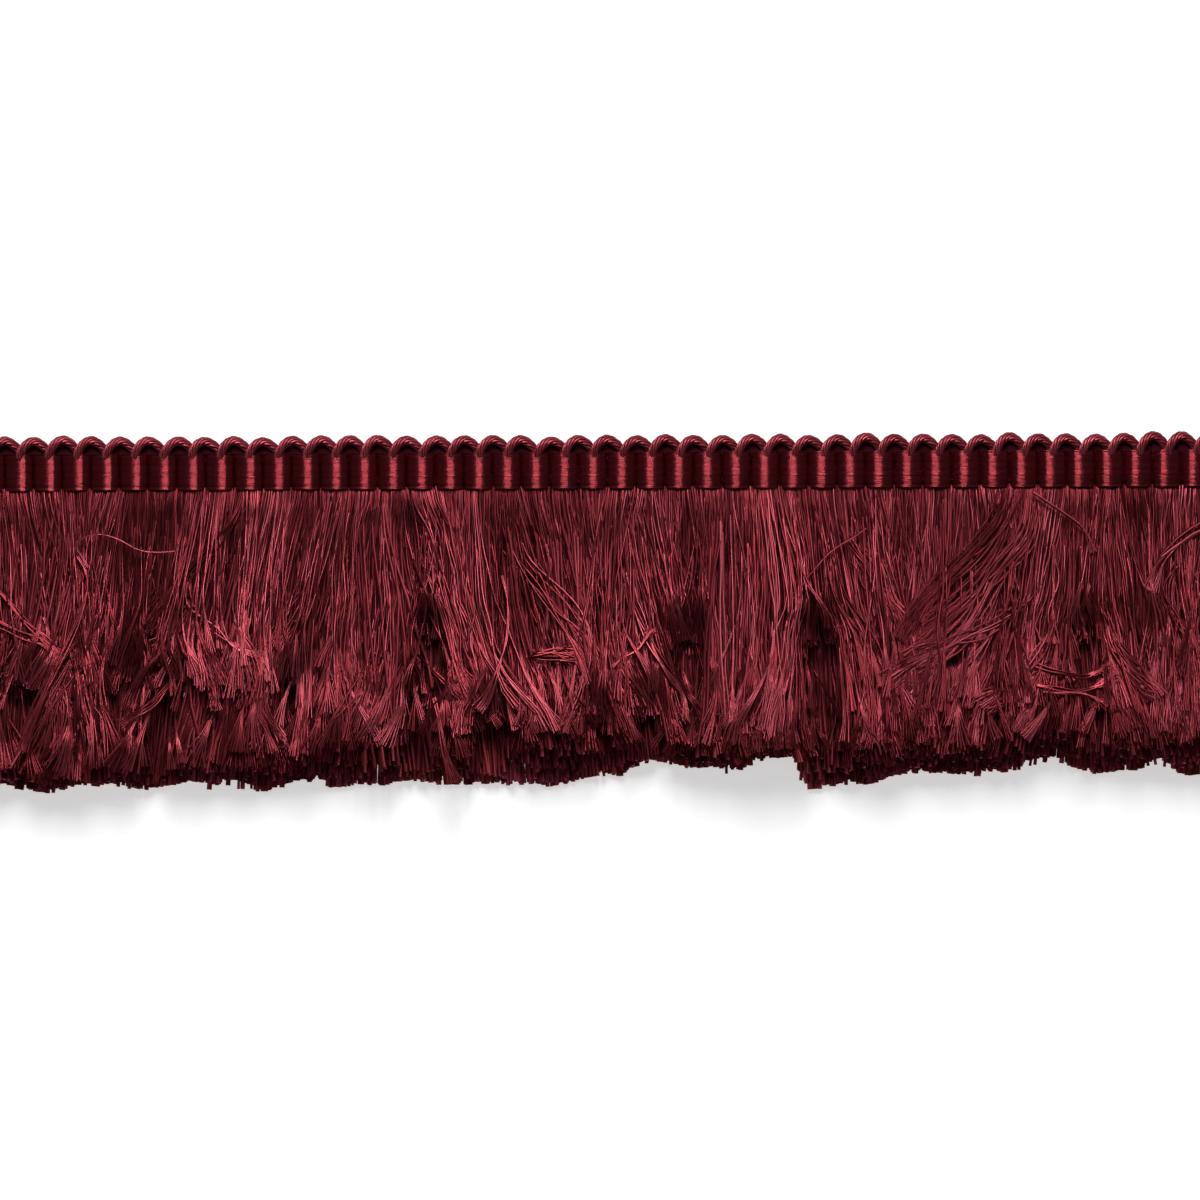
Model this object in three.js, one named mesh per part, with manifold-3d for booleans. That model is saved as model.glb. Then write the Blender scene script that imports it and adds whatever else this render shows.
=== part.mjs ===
// Brush fringe trim: a cut length of satin brush fringe with a ribbed, looped heading.
// Millimetres. X runs along the trim, +Y points across it to the looped edge and +Z is up.
// The trim lies on its back: the heading is flat and the brush swells towards its cut ends.
import * as THREE from "three";
import { mergeVertices } from "three/addons/utils/BufferGeometryUtils.js";
import Module from "manifold-3d";

const wasm = await Module();
wasm.setup();

// Driving dimensions
const RIB_PITCH = 5;
const RIB_COUNT = 44;
const BAND_WIDTH = 6; // woven band at a rib, from the fringe to the loops
const BAND_SCALLOP = 0.8; // how much wider the band is under the middle of a loop
const BAND_THICKNESS = 1.5; // in the grooves between ribs
const RIB_RISE = 1.3; // from a groove to the crown of a rib
const BAND_ROUNDING = 0.5; // at the band's two long edges
const LOOP_YARN = 1.5; // diameter of the yarn that makes the looped edge
const LOOP_RISE = 1.2; // from a loop's foot to its top
const SEAM = 0.3; // clearance between neighbouring pieces
const ROOT_WIDTH = 2.4; // strip that holds the roots of the fringe
const ROOT_HEIGHT = 2.8;
const ROOT_BITE = 0.6; // how deep a lock's root starts inside the strip
const SKIRT = 52; // the longest yarns, below the heading
const LAYER_GAP = 0.35; // clearance between the layers of locks

const TRIM_LENGTH = RIB_PITCH * RIB_COUNT;
const HALF_LENGTH = TRIM_LENGTH / 2;

// Height of the brush over its back, by the distance below the heading
const SWELL = [
  { down: 0, height: 2.1 },
  { down: 8, height: 4.2 },
  { down: 18, height: 8.2 },
  { down: 29, height: 12.0 },
  { down: 39, height: 12.6 },
  { down: 46, height: 10.8 },
  { down: SKIRT, height: 9.6 },
];

const FULLEST_SWELL = Math.max(...SWELL.map((row) => row.height));

// Length of the lowest yarns along the trim, which gives the ragged lower edge
const LOWER_EDGE = [
  { x: -110, length: 50.4 },
  { x: -97, length: 52 },
  { x: -88, length: 50.6 },
  { x: -79.5, length: 51.6 },
  { x: -72.5, length: 49.9 },
  { x: -60.5, length: SKIRT },
  { x: -53.5, length: 49.7 },
  { x: -48, length: 51.2 },
  { x: -26, length: 50.8 },
  { x: -9.5, length: 51.6 },
  { x: -1, length: 48.8 },
  { x: 2, length: 50.4 },
  { x: 9, length: 46.9 },
  { x: 23, length: 49.1 },
  { x: 26.5, length: 46.1 },
  { x: 34, length: 47.6 },
  { x: 35.5, length: 51.9 },
  { x: 45.5, length: 51 },
  { x: 51, length: 49.4 },
  { x: 58, length: 49 },
  { x: 67.5, length: 50.1 },
  { x: 78, length: 46.8 },
  { x: 85, length: 49.3 },
  { x: 92.5, length: 48.5 },
  { x: 96, length: 46.4 },
  { x: 101.5, length: 49.7 },
  { x: 110, length: 48.8 },
];

// How far along the trim the upper yarns have leaned when they reach the lower edge
const LEANS = [
  { x: -110, lean: 0 },
  { x: -98, lean: -3 },
  { x: -84, lean: -7 },
  { x: -62, lean: -5 },
  { x: -46, lean: -6 },
  { x: -34, lean: -1 },
  { x: -26, lean: 6 },
  { x: -8, lean: 9 },
  { x: 4, lean: 7 },
  { x: 14, lean: 0 },
  { x: 26, lean: 2 },
  { x: 41, lean: 5 },
  { x: 52, lean: 1 },
  { x: 66, lean: -7 },
  { x: 78, lean: -5 },
  { x: 86, lean: 3 },
  { x: 96, lean: 6 },
  { x: 110, lean: 0 },
];

// Hollows where the upper yarns part, from one distance below the heading to another
const PARTINGS = [
  { x: -95, from: 38, to: 46, width: 5, sink: 2.6 },
  { x: -66, from: 33, to: 37, width: 4, sink: 2.4 },
  { x: -34, from: 8, to: 12, width: 2.4, sink: 1 },
  { x: -37, from: 22, to: 33, width: 5, sink: 4 },
  { x: -45, from: 30, to: 40, width: 4.4, sink: 3 },
  { x: 4, from: 36, to: 46, width: 5, sink: 4 },
  { x: 13, from: 27, to: 40, width: 4.4, sink: 4 },
  { x: 32, from: 25, to: 38, width: 6, sink: 4 },
  { x: 80, from: 30, to: 36, width: 3.6, sink: 2.4 },
  { x: 92, from: 22, to: 27, width: 3, sink: 1.6 },
];

// Loose bunches that sweep across the other yarns
const SWEEPS = [
  { start: -84, end: -100, width: 2.2, length: 44 },
  { start: -55, end: -66, width: 2, length: 38 },
  { start: -20, end: -7, width: 2.2, length: 40 },
  { start: 14, end: 6, width: 1.8, length: 34 },
  { start: 40, end: 47, width: 2, length: 43 },
  { start: 76, end: 52, width: 3, length: 36 },
  { start: 85, end: 99, width: 2.4, length: 41 },
];

// Layers of locks, from the one on the surface to the one that shows.
// low and high are shares of the swell, short is how much less long a lock is, leans and parts
// are its share of the leans and partings, and ridge is its width at the top over its width.
const LAYERS = [
  { locks: 46, low: 0, high: 0.3, short: 0, stations: [18, 39], leans: 0.3, parts: 0, ridge: 0 },
  { locks: 54, low: 0.3, high: 0.62, short: 2.6, stations: [12, 29], leans: 0.6, parts: 0.4, ridge: 0 },
  { locks: 78, low: 0.62, high: 1, short: 5.6, stations: [8, 18, 29, 39], leans: 1, parts: 1, ridge: 0.5 },
];
const LOCK_FILL = 0.86; // the widest lock's share of the room it has
const FILL_SCATTER = 0.2; // how much narrower than that a lock may be
const WIDEST_LOCK = 3.6;
const END_SCATTER = 1.2; // how unevenly the locks of one layer are cut
const HEIGHT_SCATTER = 0.9; // how unevenly high they lie where the brush is fullest
const THINNEST_LOCK = 0.7;
const SWEEP_RIDGE = 0.5;

// Colours of the satin yarn
const HEADING_RED = 0x6e1422;
const LOOP_RED = 0x8c2433;
const FRINGE_RED = 0x7c1a2b;
const SATIN_ROUGHNESS = 0.45;

// A value between -1 and 1 that is always the same for one pair of numbers
function uneven(index, salt) {
  const wave = Math.sin(index * 12.9898 + salt * 78.233) * 43758.5453;
  return 2 * (wave - Math.floor(wave)) - 1;
}

// Reads a table between its rows, in straight steps
function readTable(table, place, value, at) {
  const last = table.length - 1;
  if (at <= table[0][place]) return table[0][value];
  if (at >= table[last][place]) return table[last][value];
  const next = table.findIndex((row) => row[place] > at);
  const [before, after] = [table[next - 1], table[next]];
  const share = (at - before[place]) / (after[place] - before[place]);
  return THREE.MathUtils.lerp(before[value], after[value], share);
}

// A closed skin over rings of points, each ring with as many points as the next
function loftRings(rings) {
  const sides = rings[0].length;
  const faces = [];
  const at = (ring, side) => ring * sides + (side % sides);
  for (let ring = 0; ring < rings.length - 1; ring++) {
    for (let side = 0; side < sides; side++) {
      faces.push(at(ring, side), at(ring, side + 1), at(ring + 1, side));
      faces.push(at(ring, side + 1), at(ring + 1, side + 1), at(ring + 1, side));
    }
  }
  const end = rings.length - 1;
  for (let side = 1; side < sides - 1; side++) {
    faces.push(at(0, 0), at(0, side + 1), at(0, side));
    faces.push(at(end, 0), at(end, side), at(end, side + 1));
  }
  const geometry = new THREE.BufferGeometry().setFromPoints(rings.flat());
  geometry.setIndex(faces);
  return geometry;
}

function toSolid(geometry) {
  const bare = geometry.clone();
  bare.deleteAttribute("normal");
  bare.deleteAttribute("uv");
  const merged = mergeVertices(bare);
  const mesh = new wasm.Mesh({
    numProp: 3,
    vertProperties: new Float32Array(merged.attributes.position.array),
    triVerts: new Uint32Array(merged.index.array),
  });
  return new wasm.Manifold(mesh);
}

function fromSolid(solid) {
  const mesh = solid.getMesh();
  const geometry = new THREE.BufferGeometry();
  geometry.setAttribute("position", new THREE.BufferAttribute(mesh.vertProperties, 3));
  geometry.setIndex(new THREE.BufferAttribute(mesh.triVerts, 1));
  return geometry;
}

function namedMesh(name, geometry, color) {
  const material = new THREE.MeshStandardMaterial({ color, roughness: SATIN_ROUGHNESS, metalness: 0 });
  geometry.computeVertexNormals();
  const mesh = new THREE.Mesh(geometry, material);
  mesh.name = name;
  return mesh;
}

// Places along the trim, a few to each rib, given as shares of the pitch from a groove
function placesAlong(shares) {
  const places = [];
  for (let rib = 0; rib < RIB_COUNT; rib++) {
    for (const share of shares) places.push(-HALF_LENGTH + (rib + share) * RIB_PITCH);
  }
  places.push(HALF_LENGTH);
  return places;
}

// 0 at the crown of a rib and 1 in the groove between two ribs
function fromCrown(x) {
  const share = (x + HALF_LENGTH) / RIB_PITCH;
  return 2 * Math.abs(share - Math.floor(share) - 0.5);
}

// The loops stand over the grooves, with their feet at the crowns
function loopRise(x) {
  return Math.sin((fromCrown(x) * Math.PI) / 2);
}

// The woven band, its ribs running across it and raised in its face
function headingGeometry() {
  const shares = [0, 0.17, 0.38, 0.62, 0.83];
  const rings = placesAlong(shares).map((x) => {
    const crown = Math.sqrt(Math.max(0, 1 - fromCrown(x) ** 2));
    const top = BAND_THICKNESS + RIB_RISE * crown;
    const edge = BAND_WIDTH + BAND_SCALLOP * loopRise(x);
    const shoulder = top - BAND_ROUNDING;
    return [
      new THREE.Vector3(x, 0, 0),
      new THREE.Vector3(x, edge, 0),
      new THREE.Vector3(x, edge, shoulder),
      new THREE.Vector3(x, edge - BAND_ROUNDING, top),
      new THREE.Vector3(x, BAND_ROUNDING, top),
      new THREE.Vector3(x, 0, shoulder),
    ];
  });
  return loftRings(rings);
}

// One yarn along the upper edge that stands up in a loop over every groove. Its section is
// stretched across the trim where the yarn slants, and its foot clears the band there too.
function loopGeometry() {
  const radius = LOOP_YARN / 2;
  const steepest = 1.3; // most that a slanted section is stretched
  const foot = BAND_WIDTH + SEAM + radius * steepest;
  const sides = 5;
  const rings = placesAlong([0, 0.2, 0.42, 0.58, 0.8]).map((x) => {
    const slope = (LOOP_RISE * Math.PI * Math.cos((fromCrown(x) * Math.PI) / 2)) / RIB_PITCH;
    const across = radius * Math.min(steepest, Math.hypot(1, slope));
    const middle = foot + LOOP_RISE * loopRise(x);
    return Array.from({ length: sides }, (_, side) => {
      const angle = (2 * Math.PI * (side + 0.5)) / sides;
      const y = middle + across * Math.cos(angle);
      return new THREE.Vector3(x, y, radius * (1 + Math.sin(angle)));
    });
  });
  return loftRings(rings);
}

// How far open a parting is at a distance below the heading, from 0 to 1
function partingOpen(parting, down) {
  const fade = 7;
  const middle = (parting.from + parting.to) / 2;
  const half = (parting.to - parting.from) / 2;
  const past = Math.max(0, Math.abs(down - middle) - half) / fade;
  return past >= 1 ? 0 : 0.5 + 0.5 * Math.cos(Math.PI * past);
}

// Where a yarn that starts at one place has got to, further below the heading
function yarnPlace(start, down, { leans, parts }) {
  const reach = 8;
  const bend = 1.4;
  let x = start + leans * readTable(LEANS, "x", "lean", start) * (down / SKIRT) ** bend;
  for (const parting of PARTINGS) {
    const side = start < parting.x ? -1 : 1;
    const share = Math.exp(-Math.abs(start - parting.x) / reach);
    x += (parts * side * share * parting.width * partingOpen(parting, down)) / 2;
  }
  return x;
}

// How much lower the upper yarns lie than the swell, near a parting
function partingSink(x, down) {
  const reach = 4;
  const sinks = PARTINGS.map((parting) => {
    const place = yarnPlace(parting.x, down, { leans: 1, parts: 0 });
    const near = Math.exp(-(((x - place) / reach) ** 2));
    return parting.sink * near * partingOpen(parting, down);
  });
  return Math.max(...sinks);
}

function swellAt(down) {
  return readTable(SWELL, "down", "height", down);
}

// A lock of yarn from a list of sections across it: four-sided, or three-sided with no ridge
function lockGeometry(sections, ridge) {
  const rings = sections.map(({ x, down, width, low, high }) => {
    const base = width / 2;
    const crest = base * ridge;
    const ring = [
      new THREE.Vector3(x - base, -down, low),
      new THREE.Vector3(x + base, -down, low),
      new THREE.Vector3(x + crest, -down, high),
    ];
    if (ridge > 0) ring.push(new THREE.Vector3(x - crest, -down, high));
    return ring;
  });
  return loftRings(rings);
}

function layerLocks(layer, layerIndex) {
  const room = TRIM_LENGTH / layer.locks;
  return Array.from({ length: layer.locks }, (_, index) => {
    const start = -HALF_LENGTH + (index + 0.5) * room;
    const edge = readTable(LOWER_EDGE, "x", "length", yarnPlace(start, SKIRT, layer));
    const cut = Math.max(0, uneven(index, layerIndex + 1)) * END_SCATTER;
    const end = edge - layer.short - cut;
    const fill = LOCK_FILL - FILL_SCATTER * Math.max(0, uneven(index, layerIndex + 4));
    const stations = [SEAM + ROOT_BITE, ...layer.stations, end];
    const sections = stations.map((down) => {
      const x = yarnPlace(start, down, layer);
      const left = yarnPlace(start - room / 2, down, layer);
      const right = yarnPlace(start + room / 2, down, layer);
      const width = Math.min(WIDEST_LOCK, fill * 2 * Math.min(x - left, right - x));
      const swell = swellAt(down);
      const low = layer.low === 0 ? 0 : layer.low * swell + LAYER_GAP;
      const sink = layer.high === 1 ? partingSink(x, down) : 0;
      const scatter = Math.max(0, uneven(index, layerIndex + 7)) * HEIGHT_SCATTER;
      const lower = sink + (scatter * swell) / FULLEST_SWELL;
      const high = Math.max(low + THINNEST_LOCK, layer.high * swell - lower);
      return { x, down, width, low, high: Math.min(high, layer.high * swell) };
    });
    return lockGeometry(sections, layer.ridge);
  });
}

// A loose bunch lies on the upper layer and crosses the locks under it
function sweepGeometry({ start, end, width, length }) {
  const stations = [SEAM + ROOT_BITE, 8, 18, 29, 39].filter((down) => down < length);
  const thickness = 1.3;
  const rootThickness = 0.6;
  const sections = [...stations, length].map((down) => {
    const x = THREE.MathUtils.lerp(start, end, (down / length) ** 1.5);
    const low = swellAt(down) + LAYER_GAP / 2;
    const share = Math.min(1, down / stations[1]);
    const high = low + THREE.MathUtils.lerp(rootThickness, thickness, share);
    return { x, down, width, low, high };
  });
  return lockGeometry(sections, SWEEP_RIDGE);
}

// The whole skirt: every lock fused at its root into one strip below the heading
function fringeGeometry() {
  const strip = new THREE.BoxGeometry(TRIM_LENGTH, ROOT_WIDTH, ROOT_HEIGHT);
  strip.translate(0, -SEAM - ROOT_WIDTH / 2, ROOT_HEIGHT / 2);
  const locks = [...LAYERS.flatMap(layerLocks), ...SWEEPS.map(sweepGeometry)];
  return fromSolid(locks.reduce((sum, lock) => sum.add(toSolid(lock)), toSolid(strip)));
}

const pieces = new THREE.Group();
pieces.add(namedMesh("heading", headingGeometry(), HEADING_RED));
pieces.add(namedMesh("selvedge_loops", loopGeometry(), LOOP_RED));
pieces.add(namedMesh("fringe", fringeGeometry(), FRINGE_RED));

// The origin is at the middle of the whole trim, on the surface it lies on
const extent = new THREE.Box3().setFromObject(pieces);
const middle = extent.getCenter(new THREE.Vector3());
pieces.position.set(-middle.x, -middle.y, -extent.min.z);

const trim = new THREE.Group();
trim.add(pieces);
export default trim;
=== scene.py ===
import math

import bpy
import numpy as np
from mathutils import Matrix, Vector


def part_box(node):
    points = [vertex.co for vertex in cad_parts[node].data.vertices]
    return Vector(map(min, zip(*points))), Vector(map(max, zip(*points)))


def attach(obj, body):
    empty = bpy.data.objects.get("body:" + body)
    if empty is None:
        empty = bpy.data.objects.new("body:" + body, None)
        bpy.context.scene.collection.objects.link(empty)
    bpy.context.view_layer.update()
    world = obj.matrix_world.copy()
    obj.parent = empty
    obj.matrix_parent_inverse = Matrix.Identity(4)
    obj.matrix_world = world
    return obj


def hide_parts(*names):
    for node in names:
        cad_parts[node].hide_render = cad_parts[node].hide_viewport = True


bl_info = {
    "name": "Brush fringe trim",
    "version": (1, 0, 0),
    "blender": (4, 5, 0),
    "location": "3D View > Sidebar > Fringe",
    "description": "Builds a cut length of satin brush fringe with a looped heading",
    "category": "Object",
}

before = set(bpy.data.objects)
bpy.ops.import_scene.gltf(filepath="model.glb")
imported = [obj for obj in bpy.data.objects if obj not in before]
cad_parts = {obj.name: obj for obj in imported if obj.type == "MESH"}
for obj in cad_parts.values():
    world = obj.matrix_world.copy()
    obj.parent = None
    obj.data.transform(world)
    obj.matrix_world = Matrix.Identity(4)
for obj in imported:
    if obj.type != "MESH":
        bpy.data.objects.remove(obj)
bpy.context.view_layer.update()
BODY = "root"
MM = 0.001
HEADING_LOW, HEADING_HIGH = (np.array(corner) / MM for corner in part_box("heading"))
JOINT = HEADING_LOW[1]  # where the fringe comes out of the heading
LEFT_END, RIGHT_END = HEADING_LOW[0], HEADING_HIGH[0]
LENGTH = RIGHT_END - LEFT_END
RIB_COUNT = 44
RIB_PITCH = LENGTH / RIB_COUNT
FLAT_BACK = 0.05  # about how near the surface a yarn may come
STRAY = 0.15  # about how far its unevenness can lower it
SKIRT = 52  # length of the longest yarns
STIFF_BACK = 0.7  # share of the face's lean that the deepest yarns lack


def table(names, *rows):
    """A list of rows, each with its values under the table's names."""
    return [dict(zip(names.split(), row)) for row in rows]


# Height of the brush over the surface at its fullest places
SWELL = table(
    "down height",
    (-2, 1.5), (0, 2.25), (3, 2.8), (6, 3.2), (10, 3.75), (16, 4.85), (24, 7.0), (32, 9.8),
    (38, 11.7), (44, 12.9), (SKIRT, 13.5),
)

# How full the brush is along the trim
FULLNESS = table(
    "x full",
    (-110, 0.86), (-95, 0.8), (-72, 0.84), (-55, 0.86), (-40, 0.94), (-15, 0.92), (5, 0.9),
    (24, 1.0), (40, 0.96), (55, 0.9), (75, 1.0), (95, 0.94), (110, 0.9),
)

# Where the yarns end: nearest the surface, at the face, and the few that lie on top of it
LOWER_EDGE = table(
    "x length",
    (-110, 50.4), (-97, 52), (-88, 50.6), (-79.5, 51.6), (-72.5, 49.9), (-60.5, 52),
    (-53.5, 49.7), (-48, 51.2), (-26, 50.8), (-9.5, 51.6), (-1, 48.8), (2, 50.4), (9, 46.9),
    (23, 49.1), (26.5, 46.1), (34, 47.6), (35.5, 51.9), (45.5, 51), (51, 49.4), (58, 49),
    (67.5, 50.1), (78, 46.8), (85, 49.3), (92.5, 48.5), (96, 46.4), (101.5, 49.7), (110, 48.8),
)
UPPER_EDGE = table(
    "x length",
    (-110, 47.5), (-97, 48), (-79, 46.5), (-66, 46), (-55, 43.4), (-40, 42), (-20, 40.8),
    (-2, 40.6), (10, 42), (14, 43.8), (34, 43.8), (50, 44), (60, 43), (72, 40.5), (90, 42.6),
    (110, 43),
)
TOP_EDGE = table(
    "x length",
    (-110, 33), (-95, 35), (-75, 33), (-55, 35), (-42, 39), (-20, 40), (-4, 38), (12, 41),
    (16, 43.5), (34, 43.5), (42, 40), (60, 36), (76, 35), (92, 38), (110, 38),
)

# How far along the trim the upper yarns have leaned when they reach the lower edge
LEANS = table(
    "x lean",
    (-110, 0), (-98, -3), (-84, -7), (-62, -5), (-46, -6), (-34, -1), (-26, 6), (-8, 9), (4, 7),
    (14, 0), (26, 2), (41, 5), (52, 1), (62, -9), (76, -10), (86, 3), (96, 6), (110, 0),
)

# Hollows where the upper yarns part, from one distance below the heading to another. The face
# sinks there. At an open one the upper yarns are cut short, and only the deepest go on below it.
PARTINGS = table(
    "x start end width sink open",
    (-101.5, 33, 42, 7, 4, True), (-84, 31, 36, 4.6, 4, True), (-76.5, 34, 38, 8, 3.5, True),
    (-55, 33, 39, 3, 4, True), (-35, 8, 13, 3.4, 2, False), (-30.7, 25, 30, 4, 6, True),
    (-33.5, 34, 43, 6, 4, True), (-19, 39, 46, 9, 4.5, True), (-1, 39, 46, 5, 3, True),
    (7.3, 38, 47, 7, 4, True), (13.8, 26, 37, 4, 6, True), (37, 26, 41, 6.4, 6, True),
    (82.5, 25, 30, 4.4, 4, True), (94, 24, 31, 3.6, 3, False),
)

# Loose yarns and bunches that cross the others. near and far are how wide a bunch spreads at
# its start and its end, lift is its height over the brush, tint is how light its yarns are, and
# places are points as (x, down) that it passes. The lowest tints are partly painted shade, darkening
# the long sideways sweeps that lie in shade.
BUNCHES = table(
    "yarns near far lift tint places",
    (1, 0, 0, 2.3, 0.8, [(-75, 10.7), (-77.5, 10.8), (-81, 10.2), (-84.5, 8.4), (-88, 7.7),
        (-90.8, 8.2), (-92.5, 9.5), (-91.6, 11.2), (-90.5, 13.5)]),
    (3, 0.2, 0.6, 2.2, 0.8, [(-91.6, 11.2), (-90.5, 13.5), (-90.2, 16.1), (-90.8, 18.9),
        (-92.5, 23.3), (-95.1, 29.9), (-96.9, 34.8), (-99.1, 39.6), (-100.8, 44.9)]),
    (7, 1.2, 1.4, 0.6, 0.6, [(-87, 2), (-88, 10), (-88.5, 17), (-90, 23), (-93, 30), (-97, 37),
        (-101, 46)]),
    (2, 0.2, 0.3, 2.0, 0.6, [(-73, 16), (-72.5, 18.5), (-71.5, 20.5), (-69, 23.5), (-65.5, 26),
        (-63, 27.5), (-60, 29)]),
    (10, 1.4, 1.8, 0.9, 0.2, [(-62, -0.5), (-63.5, 4), (-66, 7.5), (-70, 12), (-74, 16.5),
        (-77, 20), (-80, 25)]),
    (8, 0.8, 1.0, 0.7, 0.6, [(-52, 14), (-56, 22), (-59, 27), (-61.5, 31), (-64.5, 35.5)]),
    (12, 1.2, 1.2, 0.5, 0.6, [(-52, 18), (-56, 26), (-58.5, 32), (-60, 37.5), (-58, 42.5),
        (-57, 45)]),
    (12, 1.6, 0.3, 0.6, 0.6, [(-62, 31), (-66, 32.5), (-72, 33)]),
    (14, 2.2, 2.2, 0.5, 0.6, [(-70, 16), (-72.5, 22), (-77, 31)]),
    (4, 0.6, 0.8, 0.6, 0.6, [(-74, 32), (-77.5, 36), (-83.5, 41)]),
    (4, 1.6, 1.1, 0.3, 0.15, [(-110, 11), (-107.5, 15), (-104, 18.5), (-100, 22.5), (-96, 26),
        (-94.5, 30)]),
    (4, 1.4, 1.1, 0.3, 0.15, [(-110, 20), (-106, 22.5), (-101.5, 24.5), (-98, 25.5), (-95, 28)]),
    (16, 0.5, 2.6, 0.4, 0.6, [(-95, 30), (-94.5, 37.5), (-95.5, 47)]),
    (2, 0.4, 0.2, 1.0, 0.6, [(1, 31), (3, 29.5), (5, 28), (8, 24.5)]),
    (2, 0.3, 0.3, 1.7, 0.8, [(-18.4, 15), (-17.6, 19), (-17.4, 23.2), (-17.7, 26.7),
        (-18.8, 30.7), (-20.6, 35.6), (-22.5, 38)]),
    (8, 1.2, 1.4, 0.4, 0.35, [(-16.5, 29.8), (-13, 28.8), (-9, 28.4), (-5, 29)]),
    (7, 0.8, 1.6, 0.3, 0.2, [(0, 5), (-0.5, 12.5), (-2.5, 19), (-3, 23.5), (-2.5, 29.5),
        (-1.5, 39)]),
    (10, 2.6, 2.2, 0.5, 0.6, [(-19, 5), (-15, 12.5), (-7.5, 22.5), (-4, 29), (-2, 35)]),
    (18, 1.0, 2.0, 0.5, 0.6, [(-15, 26), (-13.5, 32), (-11.5, 42.5)]),
    (14, 1.2, 1.4, 0.5, 0.6, [(-4, 29), (-6, 36.5), (-8.5, 42.5)]),
    (16, 1.6, 2.0, 0.5, 0.6, [(-33, 6), (-31, 12), (-27.5, 24), (-25, 32), (-22, 38.5)]),
    (4, 0.5, 0.6, 0.4, 0.6, [(5, 20), (8, 28), (12.5, 35.5), (13, 40)]),
    (4, 0.5, 0.7, 0.2, 0.6, [(-30, 36), (-28.5, 42.5), (-27, 50.5)]),
    (16, 2.4, 1.0, 0.5, 0.6, [(42, 4), (44, 9.5), (48, 17.5), (51, 23)]),
    (34, 3.0, 1.5, 1.1, 0.15, [(71, -0.5), (69, 5), (64.5, 11), (59, 16.5), (54.5, 21.5),
        (51.5, 27)]),
    (20, 2.2, 2.2, 1.0, 0.35, [(73, -0.5), (71.5, 6), (68.5, 12), (63, 18.5), (56.5, 24.5),
        (51, 30)]),
    (18, 1.6, 1.7, 1.2, 0.5, [(75, -0.5), (74.5, 4), (73, 9), (68.3, 14.6), (64, 22.1),
        (59.4, 26.9), (51.6, 30.9), (47.6, 33.8)]),
    (12, 0.9, 1.8, 1.4, 0.75, [(77, 10), (75.5, 15), (72.5, 19.5), (67.4, 23.4), (61.7, 26.1),
        (53.7, 29.6), (48.8, 32.7)]),
    (10, 1.1, 1.4, 1.0, 0.65, [(69.5, 9), (67.5, 15), (65, 20), (61.7, 25.2), (57.7, 29.8),
        (52, 36.1)]),
    (9, 0.8, 1.5, 0.9, 0.7, [(69.5, 14), (67.5, 20.5), (64.5, 27), (61.5, 32), (60, 37)]),
    (12, 0.9, 1.6, 1.0, 0.6, [(78, 16), (77.8, 22), (76, 27.5), (72.7, 31.8), (68.3, 35.2),
        (64, 38.7)]),
    (14, 0.9, 2.2, 0.6, 0.6, [(77, 20), (75, 30), (73, 37), (71, 43)]),
    (3, 0.4, 0.4, 1.0, 0.4, [(74, 30.5), (79.5, 32.5), (83, 32.5), (87, 30.5)]),
    (3, 0.5, 0.4, 0.9, 0.4, [(74, 34), (80, 35), (84.5, 34), (87.5, 32)]),
    (2, 0.3, 0.4, 0.9, 0.6, [(75, 35.5), (82.5, 36), (86, 38)]),
    (10, 0.7, 1.4, 0.8, 0.6, [(84.5, 14), (85.5, 19.5), (86.5, 23), (87.5, 27.5), (91, 32.5),
        (95.5, 37)]),
    (16, 0.6, 2.2, 0.5, 0.6, [(86.5, 30), (87.5, 35), (90, 43)]),
    (8, 0.6, 1.2, 0.6, 0.6, [(75, 16), (73.5, 23), (71.5, 33.5), (70.5, 40)]),
    (4, 0.6, 0.4, 0.6, 0.6, [(78, 10), (77.5, 17.5), (77, 27)]),
    (4, 0.8, 0.4, 0.8, 0.7, [(109.5, 3), (106, 5.5), (102.2, 7.4), (98.4, 10.2), (95.6, 13.3),
        (94.4, 18)]),
    (7, 0.8, 1.5, 0.8, 0.6, [(103, 8), (100, 11.5), (98, 15.5), (97.7, 19), (98.9, 23),
        (102.2, 26.8), (106, 29.5)]),
    (2, 0.2, 0.3, 1.6, 0.75, [(74.2, 0.6), (76.5, 2.2), (79.2, 4.2), (82.9, 7.3), (84.5, 11.3)]),
    (1, 0, 0, 1.7, 0.6, [(45, 7), (42.9, 8.4), (39.5, 10.5), (37, 13), (34.3, 16), (32, 19.5)]),
)

# One loop of the looped edge, from a rib to the next: along in rib pitches, up from where
# the fringe starts, and height over the surface
LOOP_PLACES = table(
    "along up height",
    (0.04, 6.0, 2.4), (0.07, 6.7, 2.7), (0.15, 7.6, 2.75), (0.3, 8.4, 2.5), (0.5, 8.8, 2.1),
    (0.7, 8.5, 1.7), (0.88, 7.8, 1.3), (1.0, 6.9, 1.0), (1.05, 6.3, 0.95),
)


def column(rows, name):
    return [row[name] for row in rows]


def read_rows(rows, place, value, at):
    """Reads a table between its rows, in straight steps."""
    return np.interp(at, column(rows, place), column(rows, value))


def unit(vectors):
    """The same vectors with a length of 1."""
    return vectors / np.linalg.norm(vectors, axis=-1, keepdims=True)


def run_along(line):
    """Distance of each point of a line from its start, along the line."""
    return np.concatenate([[0], np.cumsum(np.linalg.norm(np.diff(line, axis=0), axis=1))])


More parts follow.
